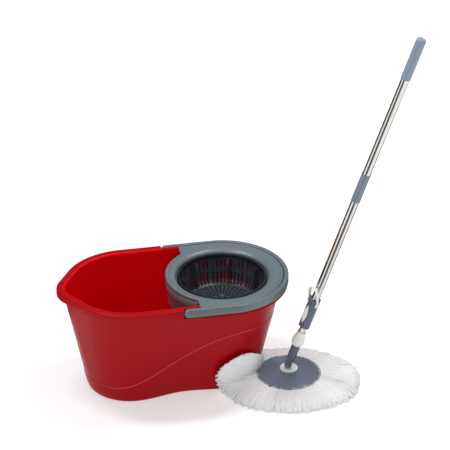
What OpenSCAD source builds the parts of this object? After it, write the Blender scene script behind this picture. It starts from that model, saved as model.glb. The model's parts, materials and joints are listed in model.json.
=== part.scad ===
// Spin mop: an oval wringer bucket with a spinning basket, and a pump-handle mop that stands beside it.
// Origin: centre of the bucket's flat base. +X runs to the basket end, +Y to the back, +Z up.

/* [Bucket] */
// Height of the bucket's rim above the floor
rim_z = 262; // [240:1:280]
// Half the outside width of the rim
rim_r = 153; // [150:1:156]
// Distance along X from the base centre to the basket's axis
basket_x = 115.5; // [113:0.5:117]
// Centre of the rim's left arc
left_x = -100; // [-104:1:-96]
// Tip of the pouring nose
nose_x = -268.5; // [-275:0.5:-262]
// Radius of the pouring nose
nose_r = 66; // [60:1:74]
// Radius of the base under the basket
base_right_r = 87; // [84:1:88]
// Radius of the base at the pouring end
base_left_r = 100; // [96:1:104]
// Half the width of the waist in the base
waist_r = 81; // [78:1:85]
// Thickness of the bucket's wall
wall = 3.5; // [3:0.5:4]

/* [Carry handle] */
// Thickness of the handle band
bail_t = 10; // [8:0.5:10]
// Height of the handle band
bail_h = 20; // [18:1:20]
// Distance along X of the handle's pivot
bail_pivot_x = 10; // [8:1:12]

/* [Wringer] */
// Radius of the tray's rounded left edge
tray_r = 131; // [129:0.5:132]
// Radius of the opening over the basket
mouth_r = 107; // [106.5:0.5:108]
// Radius of the basket's rim
basket_r = 103; // [102:0.5:103]
// Depth of the basket's floor under the bucket's rim
basket_depth = 80; // [76:1:82]
// Number of slot sectors round the basket
sectors = 7; // [6:1:8]

/* [Mop head] */
// Centre of the mop head along X
mop_x = 255; // [255:1:262]
// Centre of the mop head along Y
mop_y = -90; // [-96:1:-90]
// Outside radius of the spread yarn
yarn_r = 160; // [150:1:165]
// Radius of the rigid plate
plate_r = 75; // [73:0.5:75]

/* [Mop handle] */
// Angle between the handle and the vertical
lean = 18.1; // [10:0.1:25]
// Compass direction of the lean, from +X towards +Y
heading = -27.8; // [-32:0.1:-24]
// Height of the fork's pin above the floor
pivot_z = 54; // [54:0.5:58]
// Distance along the handle from the pin to the end of the cap
handle_len = 911; // [900:1:920]
// Outside radius of the outer tubes
tube_r = 9.5; // [9.5:0.1:9.7]
// Outside radius of the lower tube
inner_r = 8; // [7.8:0.1:8]
// Travel of the pump
stroke = 250; // [200:10:250]
// Lead of the twisted rod, one turn per lead
lead = 80; // [70:5:90]

/* [Hidden] */
$fn = 96;

red = "crimson";
grey = "slategray";
dark = "dimgray";
steel = "silver";
white = "whitesmoke";

run = 0.08;                  // radial clearance of a running fit
ledge_z = rim_z - 21;        // the ledge that carries the handle and the tray
skirt_z = rim_z - 17;        // underside of the rim's roll
deep_z = rim_z - 27;         // underside of the ledge
wall_r = rim_r - 16;         // half width of the wall at the top
step_x = -1.5;               // where the roll ends and the ledge starts
bracket_x = -21;             // where the rim's skirt gets deeper
corner_x = 37.5;             // where the tray's straight edge stands
base_right_x = 110;
base_left_x = -102;
waist_x = 15;
bail_z = rim_z - bail_h / 2;
inner_lip = rim_z - 6;       // top of the lip that the tray rests on
shroud_r = 106.8;
screw_ring_r = 115;
floor_z = rim_z - basket_depth;
first_fin = 70;              // direction of one of the basket's fins
crown_z = 41;                // top of the mop plate under the white disc

function lerp(a, b, t) = a + (b - a) * t;
function unit(a) = [cos(a), sin(a)];

// Half width of the base between its two round ends: a soft S that narrows to the waist.
function base_half(x) = x < waist_x
    ? lerp(waist_r, base_left_r, (1 - cos(180 * (waist_x - x) / (waist_x - base_left_x))) / 2)
    : lerp(waist_r, base_right_r, (1 - cos(180 * (x - waist_x) / (base_right_x - waist_x))) / 2);

// The rim's left end is the hull of a big arc and the nose's small arc, so its points follow the outward normal.
nose_c = nose_x + nose_r;
nose_turn = acos((rim_r - nose_r) / (left_x - nose_c));
function left_point(a, d) = abs(180 - a) < nose_turn
    ? [nose_c, 0] + (nose_r + d) * unit(a)
    : [left_x, 0] + (rim_r + d) * unit(a);

// Stations round the bucket: [kind, angle or x, side]
side_x = [basket_x, 98, 80, 60, corner_x + 0.5, corner_x, 20, 0, step_x + 0.5, step_x, -12,
          bracket_x, bracket_x - 0.5, -32, -44, -60, -80, left_x];
right_turns = [for (a = [-84:6:84]) ["right", a, 0]];
back_side = [for (x = side_x) ["side", x, 1]];
left_turns = [for (a = [96:6:132]) ["left", a, 0], for (a = [136:4:224]) ["left", a, 0],
              for (a = [228:6:264]) ["left", a, 0]];
front_side = [for (i = [len(side_x) - 1:-1:0]) ["side", side_x[i], -1]];
stations = concat(right_turns, back_side, left_turns, front_side);
count = len(stations);

// Outline of the rim, moved out by d from the wall's top line
function top_point(s, d) = s[0] == "right" ? [basket_x, 0] + (wall_r + d) * unit(s[1])
    : s[0] == "left" ? left_point(s[1], d - (rim_r - wall_r))
    : [s[1], s[2] * (wall_r + d)];
function base_x(x) = lerp(base_left_x, base_right_x, (x - left_x) / (basket_x - left_x));
function base_point(s, d) = s[0] == "right" ? [base_right_x, 0] + (base_right_r + d) * unit(s[1])
    : s[0] == "left" ? [base_left_x, 0] + (base_left_r + d) * unit(s[1])
    : [base_x(s[1]), s[2] * (base_half(base_x(s[1])) + d)];
function wall_point(s, z, d) = let (t = min(1, z / skirt_z), p = lerp(base_point(s, d), top_point(s, d), t))
    [p[0], p[1], z];

// Kind of cross section at a station: 0 roll, 1 roll with a deep skirt, 2 ledge, 3 ledge under the tray
function kind(s) = s[0] == "right" ? 3
    : s[0] == "left" ? 0
    : s[1] > corner_x ? 3 : s[1] > step_x ? 2 : s[1] >= bracket_x ? 1 : 0;

// Each ring is [offset, height] for the four kinds, from under the base, over the rim, to the inside floor.
rings = [
    [for (i = [0:3]) [-7, 0]],
    [for (i = [0:3]) [-2, 2]],
    [for (i = [0:3]) [0, 7]],
    [for (i = [0:3]) [0, 70]],
    [for (i = [0:3]) [0, 140]],
    [for (i = [0:3]) [0, 200]],
    [[0, skirt_z], [0, deep_z], [0, deep_z], [0, deep_z]],
    [[13, skirt_z], [13, deep_z], [13, deep_z], [13, deep_z]],
    [[16, skirt_z + 2], [16, deep_z + 2], [16, deep_z + 2], [16, deep_z + 2]],
    [[16, rim_z - 5], [16, rim_z - 5], [16, ledge_z - 2], [16, ledge_z - 2]],
    [[14.5, rim_z - 1.5], [14.5, rim_z - 1.5], [15, ledge_z], [15, ledge_z]],
    [[11, rim_z], [11, rim_z], [12, ledge_z], [12, ledge_z]],
    [[1, rim_z], [1, rim_z], [3, ledge_z], [0, ledge_z]],
    [[-2, rim_z - 1.5], [-2, rim_z - 1.5], [3, rim_z - 1], [0, inner_lip]],
    [[-wall, rim_z - 5], [-wall, rim_z - 5], [-wall, rim_z - 1], [-wall, inner_lip]],
    [for (i = [0:3]) [-wall, skirt_z]],
    [for (i = [0:3]) [-wall, 200]],
    [for (i = [0:3]) [-wall, 140]],
    [for (i = [0:3]) [-wall, 70]],
    [for (i = [0:3]) [-wall, 10]],
    [for (i = [0:3]) [-wall - 2, 5]],
    [for (i = [0:3]) [-wall - 7, wall]]
];
shell_points = [for (r = rings) for (s = stations) wall_point(s, r[kind(s)][1], r[kind(s)][0])];
shell_faces = concat(
    [[for (i = [0:count - 1]) i]],
    [for (k = [0:len(rings) - 2]) for (i = [0:count - 1])
        [k * count + i, (k + 1) * count + i, (k + 1) * count + (i + 1) % count, k * count + (i + 1) % count]],
    [[for (i = [count - 1:-1:0]) (len(rings) - 1) * count + i]]);

module ring_at(r_out, r_in, z0, z1) {
    translate([basket_x, 0, z0])
        difference() {
            cylinder(h = z1 - z0, r = r_out);
            translate([0, 0, -1]) cylinder(h = z1 - z0 + 2, r = r_in);
        }
}

module across(x, z, r, half) {
    translate([x, 0, z]) rotate([90, 0, 0]) cylinder(h = 2 * half, r = r, center = true);
}

// ---- Bucket ----

module bucket_shell() {
    color(red)
    difference() {
        polyhedron(points = shell_points, faces = shell_faces, convexity = 8);
        across(bail_pivot_x, bail_z, 4 + run, rim_r);
    }
}

module band(r) {
    translate([basket_x, 0]) circle(r = r);
    translate([bail_pivot_x, -r]) square([basket_x - bail_pivot_x, 2 * r]);
}

module carry_handle() {
    color(grey) {
        translate([0, 0, rim_z - bail_h])
        linear_extrude(bail_h)
        difference() {
            band(rim_r);
            band(rim_r - bail_t);
            translate([bail_pivot_x - 100, -rim_r]) square([100, 2 * rim_r]);
        }
        for (side = [-1, 1]) {
            translate([bail_pivot_x, side * (rim_r - bail_t / 2), bail_z])
                rotate([90, 0, 0]) cylinder(h = bail_t, r = bail_h / 2, center = true);
            translate([bail_pivot_x, side * (rim_r - bail_t - 6), bail_z])
                rotate([90, 0, 0]) cylinder(h = 13, r = 4, center = true);
        }
    }
}

// ---- Wringer tray, which lifts out with the basket ----

module tray_outline() {
    translate([basket_x, 0]) circle(r = tray_r);
    translate([basket_x, 0])
    intersection() {
        circle(r = 141.5);
        translate([0, -150]) square([150, 300]);
    }
    translate([corner_x + 1, -141.5]) square([basket_x - corner_x - 1, 283]);
}

module tray_cover() {
    color(grey) {
        // Flange over the bucket's lip
        translate([0, 0, inner_lip])
        difference() {
            linear_extrude(4) tray_outline();
            translate([basket_x, 0, -1]) cylinder(h = 6, r = tray_r - 5);
        }
        // Funnel and the collar round its mouth
        translate([basket_x, 0, rim_z])
        rotate_extrude()
            polygon([[mouth_r, -14], [mouth_r + 2.5, -14], [mouth_r + 2.5, -8], [mouth_r + 7, -6],
                     [tray_r - 3, -6], [tray_r - 3, -2.4], [mouth_r + 6, -4.6], [mouth_r + 1, -6.5], [mouth_r, -8]]);
        // Locating rib inside the bucket's lip
        intersection() {
            ring_at(tray_r, tray_r - 2.5, rim_z - 14, inner_lip + 1);
            translate([corner_x + 2, -200, 0]) cube([300, 400, rim_z]);
        }
        // Skirt over the water side, with a step in it
        intersection() {
            union() {
                ring_at(tray_r - 0.4, tray_r - 2.8, rim_z - 30, inner_lip + 1);
                ring_at(tray_r - 2.5, tray_r - 5, rim_z - 62, rim_z - 28);
            }
            translate([corner_x - 300, -200, 0]) cube([300, 400, rim_z]);
        }
        // Screw bosses for the shroud
        for (a = [45:90:315])
            translate([basket_x, 0, 0]) rotate(a) translate([screw_ring_r, 0, rim_z - 14])
                difference() {
                    cylinder(h = 8.1, r = 3.2);
                    translate([0, 0, -1]) cylinder(h = 7, r = 1.5, $fn = 32);
                }
    }
}

module basket_shroud() {
    color(grey)
    difference() {
        union() {
            ring_at(120, shroud_r - 2, rim_z - 16.5, rim_z - 14);
            ring_at(shroud_r, shroud_r - 2, rim_z - 116, rim_z - 14);
            ring_at(shroud_r, 92, rim_z - 118, rim_z - 115.5);
        }
        for (a = [45:90:315])
            translate([basket_x, 0, 0]) rotate(a) translate([screw_ring_r, 0, rim_z - 20])
                cylinder(h = 10, r = 1.8, $fn = 32);
        for (a = [15:30:345])
            translate([basket_x, 0, 0]) rotate(a) translate([85, -20, rim_z - 104]) cube([30, 40, 78]);
        for (a = [0:120:240])
            translate([basket_x, 0, 0]) rotate(a) translate([98, 0, rim_z - 122])
                cylinder(h = 10, r = 1.8, $fn = 32);
    }
}

module shroud_screws() {
    color(steel)
    for (a = [45:90:315])
        translate([basket_x, 0, 0]) rotate(a) translate([screw_ring_r, 0, 0]) {
            translate([0, 0, rim_z - 18.5]) cylinder(h = 2, r = 3.2, $fn = 32);
            translate([0, 0, rim_z - 16.5]) cylinder(h = 8, r = 1.45, $fn = 32);
        }
}

module bearing_bracket() {
    color(dark)
    translate([basket_x, 0, 0])
    difference() {
        union() {
            translate([0, 0, rim_z - 122]) cylinder(h = 16, r = 14);
            for (a = [0:120:240])
                rotate(a) {
                    translate([0, -6, rim_z - 115.5]) cube([90, 12, 8]);
                    translate([90, -8, rim_z - 115.5]) cube([13.8, 16, 5]);
                }
        }
        translate([0, 0, rim_z - 130]) cylinder(h = 40, r = 4.02);
        for (a = [0:120:240])
            rotate(a) translate([98, 0, rim_z - 122]) cylinder(h = 10, r = 1.5, $fn = 32);
    }
}

module bracket_screws() {
    color(steel)
    for (a = [0:120:240])
        translate([basket_x, 0, 0]) rotate(a) translate([98, 0, 0]) {
            translate([0, 0, rim_z - 120]) cylinder(h = 2, r = 3.2, $fn = 32);
            translate([0, 0, rim_z - 118]) cylinder(h = 5, r = 1.45, $fn = 32);
        }
}

module spindle() {
    color(steel)
    translate([basket_x, 0, 0])
    difference() {
        union() {
            translate([0, 0, rim_z - 124]) cylinder(h = 2, r = 7);
            translate([0, 0, rim_z - 122]) cylinder(h = 49, r = 4);
        }
        translate([0, 0, rim_z - 85]) cylinder(h = 14, r = 1.5, $fn = 32);
    }
}

module thrust_washer() {
    color(steel) ring_at(9, 4.1, rim_z - 106, rim_z - 105);
}

module retaining_washer() {
    color(steel) ring_at(7, 2.1, rim_z - 73, rim_z - 71.8);
}

module retaining_screw() {
    color(steel)
    translate([basket_x, 0, 0]) {
        translate([0, 0, rim_z - 71.8]) cylinder(h = 2.5, r = 3.6, $fn = 32);
        translate([0, 0, rim_z - 82]) cylinder(h = 10.2, r = 1.45, $fn = 32);
    }
}

// ---- Spin basket ----

module basket_profile() {
    polygon([
        [8.1, floor_z - 24], [14, floor_z - 24], [14, floor_z - 3], [82, floor_z - 3], [90, floor_z + 0.5],
        [94.5, floor_z + 8], [97.5, floor_z + 30], [99.5, rim_z - 13], [basket_r, rim_z - 12],
        [basket_r, rim_z - 9], [98, rim_z - 9], [97, rim_z - 14], [95, floor_z + 30],
        [92, floor_z + 9], [88, floor_z + 3], [81, floor_z], [8.1, floor_z]
    ]);
}

// An inward fin, drawn with x as radius and y as height; its outer edge runs inside the basket's wall.
module fin() {
    rotate([90, 0, 0])
    linear_extrude(3, center = true)
        polygon([[82, floor_z - 1.5], [89, floor_z + 1.8], [93.2, floor_z + 8.5], [96.2, floor_z + 30],
                 [98, rim_z - 16], [88, rim_z - 16], [84, rim_z - 24]]);
}

module basket() {
    sector = 360 / sectors;
    color(dark)
    translate([basket_x, 0, 0])
    difference() {
        union() {
            rotate_extrude() basket_profile();
            for (i = [0:sectors - 1]) rotate(first_fin + i * sector) fin();
        }
        // Eight slots between two fins, in two tiers; the lower ones run round the corner into the floor
        for (i = [0:sectors - 1])
            for (j = [0:3])
                for (side = [-1, 1])
                    rotate(first_fin + i * sector + side * (4.6 + 5.6 * j)) {
                        translate([86, -2.2, rim_z - 42]) cube([20, 4.4, 27.3]);
                        translate([85, -2.2, floor_z - 4]) cube([20, 4.4, 33]);
                    }
        // Radial slots in the floor
        for (i = [0:6 * sectors - 1])
            rotate(first_fin + (i + 0.5) * sector / 6) translate([32, -1.3, floor_z - 5]) cube([46, 2.6, 8]);
    }
}

module basket_bush() {
    color(white) ring_at(8.05, 4 + run, floor_z - 25, floor_z - 1);
}

module hub_cap() {
    color(dark)
    translate([basket_x, 0, 0])
    difference() {
        rotate_extrude()
            polygon([[0, floor_z], [16, floor_z], [14, floor_z + 7], [10, floor_z + 9], [9, floor_z + 17],
                     [7, floor_z + 20.5], [3, floor_z + 22], [0, floor_z + 22]]);
        translate([0, 0, floor_z - 1]) cylinder(h = 15, r = 7.6);
    }
}

// ---- Mop head ----

module at_head() {
    translate([mop_x, mop_y, 0]) children();
}

module yarn_pile() {
    color(white)
    difference() {
        at_head()
        rotate_extrude()
            polygon([[30, 0], [yarn_r - 6, 0], [yarn_r, 6], [yarn_r - 3, 13], [yarn_r - 20, 20],
                     [112, 25], [82, 27], [76.5, 24], [76.5, 15], [30, 15]]);
        // The strands on the bucket's side are pushed back by its wall
        translate([base_right_x, 0, -1]) cylinder(h = 60, r1 = base_right_r + 3, r2 = base_right_r + 16);
    }
}

module pad_ring() {
    color(white)
    at_head()
    rotate_extrude()
        polygon([[58, 15], [69.6, 15], [69.6, 24], [60, 24], [60, 18], [58, 18]]);
}

module mop_plate() {
    color(grey)
    at_head()
    difference() {
        rotate_extrude()
            polygon([[0, crown_z - 4], [22, crown_z - 4], [57, 28.5], [59, 24], [70, 24], [70, 21], [plate_r, 21],
                     [plate_r, 27], [71, 29.5], [50, 35], [24, crown_z], [0, crown_z]]);
        for (a = [30:120:270])
            rotate(a) translate([14, 0, crown_z - 6]) cylinder(h = 10, r = 1.8, $fn = 32);
    }
}

module swivel_disc() {
    color(white)
    at_head()
    difference() {
        union() {
            rotate_extrude()
                polygon([[0, crown_z], [20.5, crown_z], [20.5, crown_z + 2.5], [19, crown_z + 4], [0, crown_z + 4]]);
            rotate(heading) translate([0, 0, crown_z + 3]) {
                translate([-8, -5.2, 0]) cube([16, 10.4, pivot_z - crown_z - 3]);
                across(0, pivot_z - crown_z - 3, 8, 5.2);
            }
        }
        rotate(heading) across(0, pivot_z, 3 + run, 20);
        for (a = [30:120:270])
            rotate(a) translate([14, 0, crown_z - 1]) cylinder(h = 4, r = 1.5, $fn = 32);
    }
}

module disc_screws() {
    color(steel)
    at_head()
    for (a = [30:120:270])
        rotate(a) translate([14, 0, crown_z]) {
            translate([0, 0, -6]) cylinder(h = 2, r = 3.2, $fn = 32);
            translate([0, 0, -4]) cylinder(h = 6.5, r = 1.45, $fn = 32);
        }
}

// ---- Mop handle: z runs along the handle from the fork's pin, x leans outwards, y lies along the pin ----

collar_z = [59, 97];
lock_z = [113.5, 194];
sleeve_z = [475.5, 550.5];
seam_z = 513;
grip_z = 808;
cap_z = handle_len - 19;
rod_z = [190, 491];
anchor_z = 484;
rivet_z = 80;
lock_turn = -38;
badge_z = 151;
lever_y = -3;
shoe_z = 177;
lever_z = 184;
bore_r = tube_r - 0.8;
grip_r = 11.2;

module at_handle() {
    translate([mop_x, mop_y, pivot_z]) rotate([0, 0, heading]) rotate([0, lean, 0]) children();
}

// The lock's own frame: its badge faces -Y, its lever's pins lie along X.
module at_lock() {
    at_handle() rotate([0, 0, lock_turn]) children();
}

module tube(r_out, r_in, z0, z1) {
    translate([0, 0, z0])
    difference() {
        cylinder(h = z1 - z0, r = r_out);
        translate([0, 0, -1]) cylinder(h = z1 - z0 + 2, r = r_in);
    }
}

module yoke() {
    color(grey)
    at_handle()
    difference() {
        union() {
            for (side = [-1, 1])
                translate([0, side * 7.6, 0]) {
                    rotate([90, 0, 0]) cylinder(h = 4, r = 8, center = true);
                    translate([-8, -2, 0]) cube([16, 4, 16]);
                }
            translate([0, 0, 14]) cylinder(h = collar_z[0] - 14, r = 10.2);
            translate([0, 0, collar_z[0] - 1]) cylinder(h = 35, r = inner_r - 0.9);
        }
        translate([-12, -5.6, -12]) cube([24, 11.2, 27]);
        across(0, 0, 3, 20);
        across(0, rivet_z, 1.5, 20);
    }
}

module yoke_pin() {
    color(steel)
    at_handle() {
        across(0, 0, 3, 10);
        for (side = [-1, 1])
            translate([0, side * 10.4, 0]) rotate([90, 0, 0]) cylinder(h = 1.4, r = 4.5, center = true);
    }
}

module tube_collar() {
    color(white)
    at_handle()
    difference() {
        rotate_extrude()
            polygon([[0, collar_z[0]], [12, collar_z[0]], [13.4, collar_z[0] + 4], [14.8, collar_z[0] + 11],
                     [13.8, collar_z[0] + 19], [10.8, collar_z[1] - 6], [10, collar_z[1]], [0, collar_z[1]]]);
        translate([0, 0, collar_z[0] - 1]) cylinder(h = 60, r = inner_r + 0.02);
        across(0, rivet_z, 1.5, 20);
    }
}

module collar_rivet() {
    color(steel) at_handle() across(0, rivet_z, 1.5, 11.4);
}

module lower_tube() {
    color(steel)
    at_handle()
    difference() {
        tube(inner_r, inner_r - 0.8, collar_z[0] + 0.2, 465);
        across(0, rivet_z, 1.5, 20);
    }
}

module clutch_housing() {
    color(white)
    at_handle() {
        tube(inner_r - 0.85, 5.2, 437, 465);
        tube(inner_r, 5.2, 465, 468);
        tube(5.2, 3.8, 439, 449);
    }
}

module drive_nut() {
    color(dark)
    at_handle()
    difference() {
        translate([0, 0, 449]) cylinder(h = 3, r = 5.15);
        rotate(360 * (450.5 - rod_z[0]) / lead) cube([6.9, 3.5, 2000], center = true);
    }
}

module guide_bush() {
    color(white) at_handle() tube(10.5, inner_r + run, lock_z[0] + 2.3, lock_z[0] + 15);
}

module outer_tube() {
    color(steel)
    at_handle()
    difference() {
        tube(tube_r, bore_r, lock_z[0] + 16, seam_z - 0.2);
        rotate(lock_turn) translate([-3.4, -13, shoe_z - 0.4]) cube([6.8, 6, 14.8]);
        across(0, anchor_z, 1.5, 20);
    }
}

module lock_body() {
    color(dark)
    at_lock()
    difference() {
        // Round at the back, with a flat for the badge in front and a broad slanted face beside it
        translate([0, 0, lock_z[0]]) {
            intersection() {
                cylinder(h = lock_z[1] - lock_z[0], r = 13.5);
                translate([-20, 0, -1]) cube([40, 20, 100]);
            }
            linear_extrude(lock_z[1] - lock_z[0])
                polygon([[13.8, 2], [13.8, -1], [13.4, -4], [7.5, -11.8], [-6.9, -11.8], [-9.8, -9.5],
                         [-12.6, -5.5], [-13.8, -2], [-13.8, 2]]);
        }
        translate([0, 0, lock_z[0] - 1]) cylinder(h = 4, r = inner_r + 0.4);
        translate([0, 0, lock_z[0] + 2]) cylinder(h = 13.5, r = 10.5 + run);
        translate([0, 0, lock_z[0] + 15.4]) cylinder(h = 80, r = tube_r + 0.03);
        translate([-3.4, -10.6, shoe_z - 0.4]) cube([6.8, 3, 14.8]);
        for (side = [-1, 1])
            translate([side * 12, lever_y, lever_z]) rotate([0, 90, 0]) cylinder(h = 5, r = 2, center = true);
    }
}

module badge_plate() {
    color(steel)
    at_lock()
    translate([0, -11.82, badge_z])
    rotate([90, 0, 0])
    linear_extrude(0.9)
    intersection() {
        translate([-50, 0]) circle(r = 56);
        translate([50, 0]) circle(r = 56);
    }
}

module lever_pins() {
    color(steel)
    at_lock()
    for (side = [-1, 1])
        translate([side * 13.3, lever_y, lever_z]) rotate([0, 90, 0]) cylinder(h = 7.4, r = 2, center = true);
}

module brake_shoe() {
    color(dark) at_lock() translate([-3, -10.3, shoe_z]) cube([6, 2, 14]);
}

module joint_sleeve() {
    color(dark) at_handle() tube(10.5, tube_r + 0.03, sleeve_z[0], sleeve_z[1]);
}

module joint_core() {
    color(white) at_handle() tube(bore_r - 0.02, 5, anchor_z + 11, 547);
}

module rod_anchor() {
    color(dark)
    at_handle()
    difference() {
        translate([0, 0, anchor_z - 7]) cylinder(h = 16, r = bore_r - 0.02);
        rotate(360 * (anchor_z - rod_z[0]) / lead)
            translate([0, 0, anchor_z - 9]) cube([7.4, 5.2, 33], center = true);
        across(0, anchor_z, 1.5, 20);
    }
}

module rod_pin() {
    color(steel) at_handle() across(0, anchor_z, 1.45, tube_r - 0.2);
}

module twist_rod() {
    span = rod_z[1] - rod_z[0];
    color(steel)
    at_handle()
    difference() {
        translate([0, 0, rod_z[0]])
            linear_extrude(height = span, twist = -360 * span / lead, slices = 100, $fn = 4)
                square([6, 2.4], center = true);
        across(0, anchor_z, 1.5, 20);
    }
}

module top_tube() {
    color(steel) at_handle() tube(tube_r, bore_r, seam_z + 0.2, handle_len - 30);
}

module grip() {
    color(grey) at_handle() tube(grip_r, tube_r + 0.03, grip_z, cap_z);
}

module grip_cap() {
    color(grey)
    at_handle()
    translate([0, 0, cap_z])
    rotate_extrude()
        polygon([[0, 0], [grip_r, 0], [grip_r, 14.5], [grip_r - 1, 17.5], [grip_r - 3.5, 19], [0, 19]]);
}

// ---- Lock lever ----

module lever_side() {
    difference() {
        union() {
            circle(r = 4.5);
            polygon([[-3, 3], [4.5, 0], [-5, 38], [-12, 48], [-17, 46], [-15, 30]]);
        }
        circle(r = 2 + run);
    }
}

module lock_lever() {
    color(white)
    at_lock()
    translate([0, lever_y, lever_z]) {
        for (side = [-1, 1])
            translate([side * 15.6, 0, 0]) rotate([90, 0, 90]) linear_extrude(2.4, center = true) lever_side();
        translate([-16.8, -17, 36]) cube([33.6, 4, 12]);
    }
}

bucket_shell();
carry_handle();
tray_cover();
basket_shroud();
shroud_screws();
bearing_bracket();
bracket_screws();
spindle();
thrust_washer();
retaining_washer();
retaining_screw();
basket();
basket_bush();
hub_cap();
yarn_pile();
pad_ring();
mop_plate();
swivel_disc();
disc_screws();
yoke();
yoke_pin();
tube_collar();
collar_rivet();
lower_tube();
clutch_housing();
drive_nut();
guide_bush();
outer_tube();
lock_body();
badge_plate();
lever_pins();
brake_shoe();
joint_sleeve();
joint_core();
rod_anchor();
rod_pin();
twist_rod();
top_tube();
grip();
grip_cap();
lock_lever();
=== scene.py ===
"""Spin mop: an oval wringer bucket with a spinning basket, and a pump-handle mop that stands beside it."""

import json
import math
import random

import bmesh
import bpy
import numpy as np
from mathutils import Matrix, Vector


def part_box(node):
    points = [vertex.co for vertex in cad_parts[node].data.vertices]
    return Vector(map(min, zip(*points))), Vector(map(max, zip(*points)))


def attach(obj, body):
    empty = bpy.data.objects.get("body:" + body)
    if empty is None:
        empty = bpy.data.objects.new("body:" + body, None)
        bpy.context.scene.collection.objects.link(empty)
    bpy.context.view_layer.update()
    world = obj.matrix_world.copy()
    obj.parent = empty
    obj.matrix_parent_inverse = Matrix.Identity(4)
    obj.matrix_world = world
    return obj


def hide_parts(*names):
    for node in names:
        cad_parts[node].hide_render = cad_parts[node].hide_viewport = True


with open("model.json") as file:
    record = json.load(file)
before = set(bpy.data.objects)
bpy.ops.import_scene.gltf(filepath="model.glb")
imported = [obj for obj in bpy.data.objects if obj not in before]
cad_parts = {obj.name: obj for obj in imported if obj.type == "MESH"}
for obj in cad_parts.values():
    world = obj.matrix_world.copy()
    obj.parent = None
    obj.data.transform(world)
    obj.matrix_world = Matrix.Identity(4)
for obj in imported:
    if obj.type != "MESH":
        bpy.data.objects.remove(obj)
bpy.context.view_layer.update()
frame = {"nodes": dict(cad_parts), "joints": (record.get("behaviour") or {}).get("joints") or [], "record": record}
NODES = frame["nodes"]
JOINTS = {j["name"]: j for j in frame["joints"]}
MM = 0.001


# ---- Driving dimensions in metres: some read from the frame, the rest given ----

def mid(node):
    low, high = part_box(node)
    return (low + high) / 2


SHELL_LOW, SHELL_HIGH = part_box("bucket_shell")
RIM_Z = SHELL_HIGH.z
RIM_R = SHELL_HIGH.y
NOSE_X = SHELL_LOW.x
BASKET_X = mid("basket").x
WALL_R = RIM_R - 16 * MM          # half width of the wall under the rim
WALL = 3.5 * MM
LEFT_X = -100 * MM                # centre of the rim's left arc
NOSE_R = 66 * MM
BASE_RIGHT = (110 * MM, 87 * MM)  # centre and radius of the base's right end
BASE_LEFT = (-102 * MM, 100 * MM)
WAIST = (15 * MM, 81 * MM)        # where the base is narrowest, and half its width there
CREASE_SPAN = (7 * MM, 226.5 * MM)  # the heights of the outside wall that can carry the styling line
STEP_X = -1.5 * MM                # the rim's roll ends here and the handle's ledge starts
BRACKET_X = -21 * MM              # the rim's skirt gets deeper here
SKIRT_Z = RIM_Z - 17 * MM
LEDGE_Z = RIM_Z - 21 * MM
LEDGE_LOW = RIM_Z - 27 * MM
TRAY_R = BASKET_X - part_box("tray_cover")[0].x
TRAY_FLANGE = 141.5 * MM          # radius of the tray's flange round the basket end
CORNER_X = 37.5 * MM              # where the shell's ledge meets the tray's flange
TRAY_CORNER = CORNER_X + 1 * MM - BASKET_X
MOUTH_R = 107 * MM
MOUTH_ROLL = 17 * MM              # width of the soft roll into the mouth
PIVOT = Vector(JOINTS["handle_tilt"]["pos_m"])
TUBE_AXIS = Vector(JOINTS["pump_slide"]["axis"])
LEVER_AXIS = Vector(JOINTS["lever_flip"]["axis"])
LEVER_PIN = Vector(JOINTS["lever_flip"]["pos_m"])
MOP = Vector((PIVOT.x, PIVOT.y, 0))  # the middle of the mop head, on the floor


# ---- Camera: a long lens, seen from the pouring side and above ----

CAMERA_AZIMUTH = math.radians(-11.33)
CAMERA_ELEVATION = math.radians(29.26)
CAMERA_DISTANCE = 6.0
CAMERA_LENS = 208.8               # in millimetres, on a 36 mm sensor
LOOK_AT = Vector((0.1326, 0.0510, 0.3572))


def make_camera():
    """A camera that looks at LOOK_AT from the azimuth and elevation above."""
    back = Vector((math.sin(CAMERA_AZIMUTH) * math.cos(CAMERA_ELEVATION),
                   -math.cos(CAMERA_AZIMUTH) * math.cos(CAMERA_ELEVATION),
                   math.sin(CAMERA_ELEVATION)))
    data = bpy.data.cameras.new("camera")
    data.lens = CAMERA_LENS
    data.sensor_width = 36
    data.clip_end = 100
    camera = bpy.data.objects.new("camera", data)
    camera.location = LOOK_AT + back * CAMERA_DISTANCE
    camera.rotation_euler = back.to_track_quat("Z", "Y").to_euler()
    bpy.context.scene.collection.objects.link(camera)
    bpy.context.scene.camera = camera


# ---- Materials ----

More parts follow.
